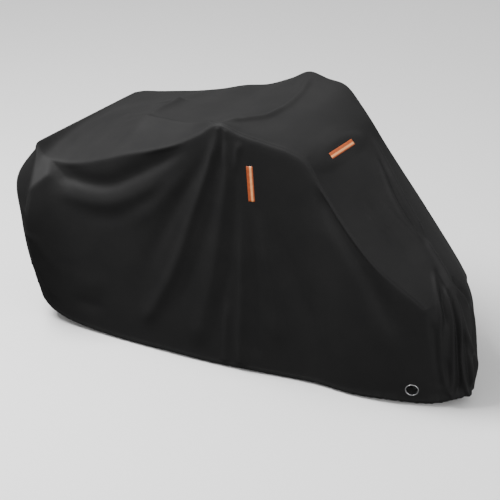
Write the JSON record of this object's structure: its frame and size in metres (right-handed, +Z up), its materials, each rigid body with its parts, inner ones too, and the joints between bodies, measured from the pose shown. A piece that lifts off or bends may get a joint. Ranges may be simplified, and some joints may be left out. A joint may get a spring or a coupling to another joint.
{
  "type": "tricycle cover",
  "caption": "Fitted black cloth cover in the draped shape of an adult tricycle, hollow and open below, with gathered hem, eyelets and orange reflective strips",
  "frame": {"origin": "on the floor under the middle of the cover", "axes": "+X points to the front wheel, +Y to the rider's left, +Z up"},
  "size_m": [2.0414, 0.9706, 1.1025],
  "materials": {
    "cloth": "matt coated weave",
    "eyelet_metal": "plated, worn bright",
    "reflective_strip": "orange tape with a pale band"
  },
  "bodies": {
    "root": {"right_side_panel": "cloth", "left_side_panel": "cloth", "middle_panel": "cloth", "right_hem_patch": "cloth", "left_hem_patch": "cloth", "right_eyelet": "eyelet_metal", "left_eyelet": "eyelet_metal", "right_strip": "reflective_strip", "left_strip": "reflective_strip", "front_strip": "reflective_strip"}
  },
  "joints": []
}
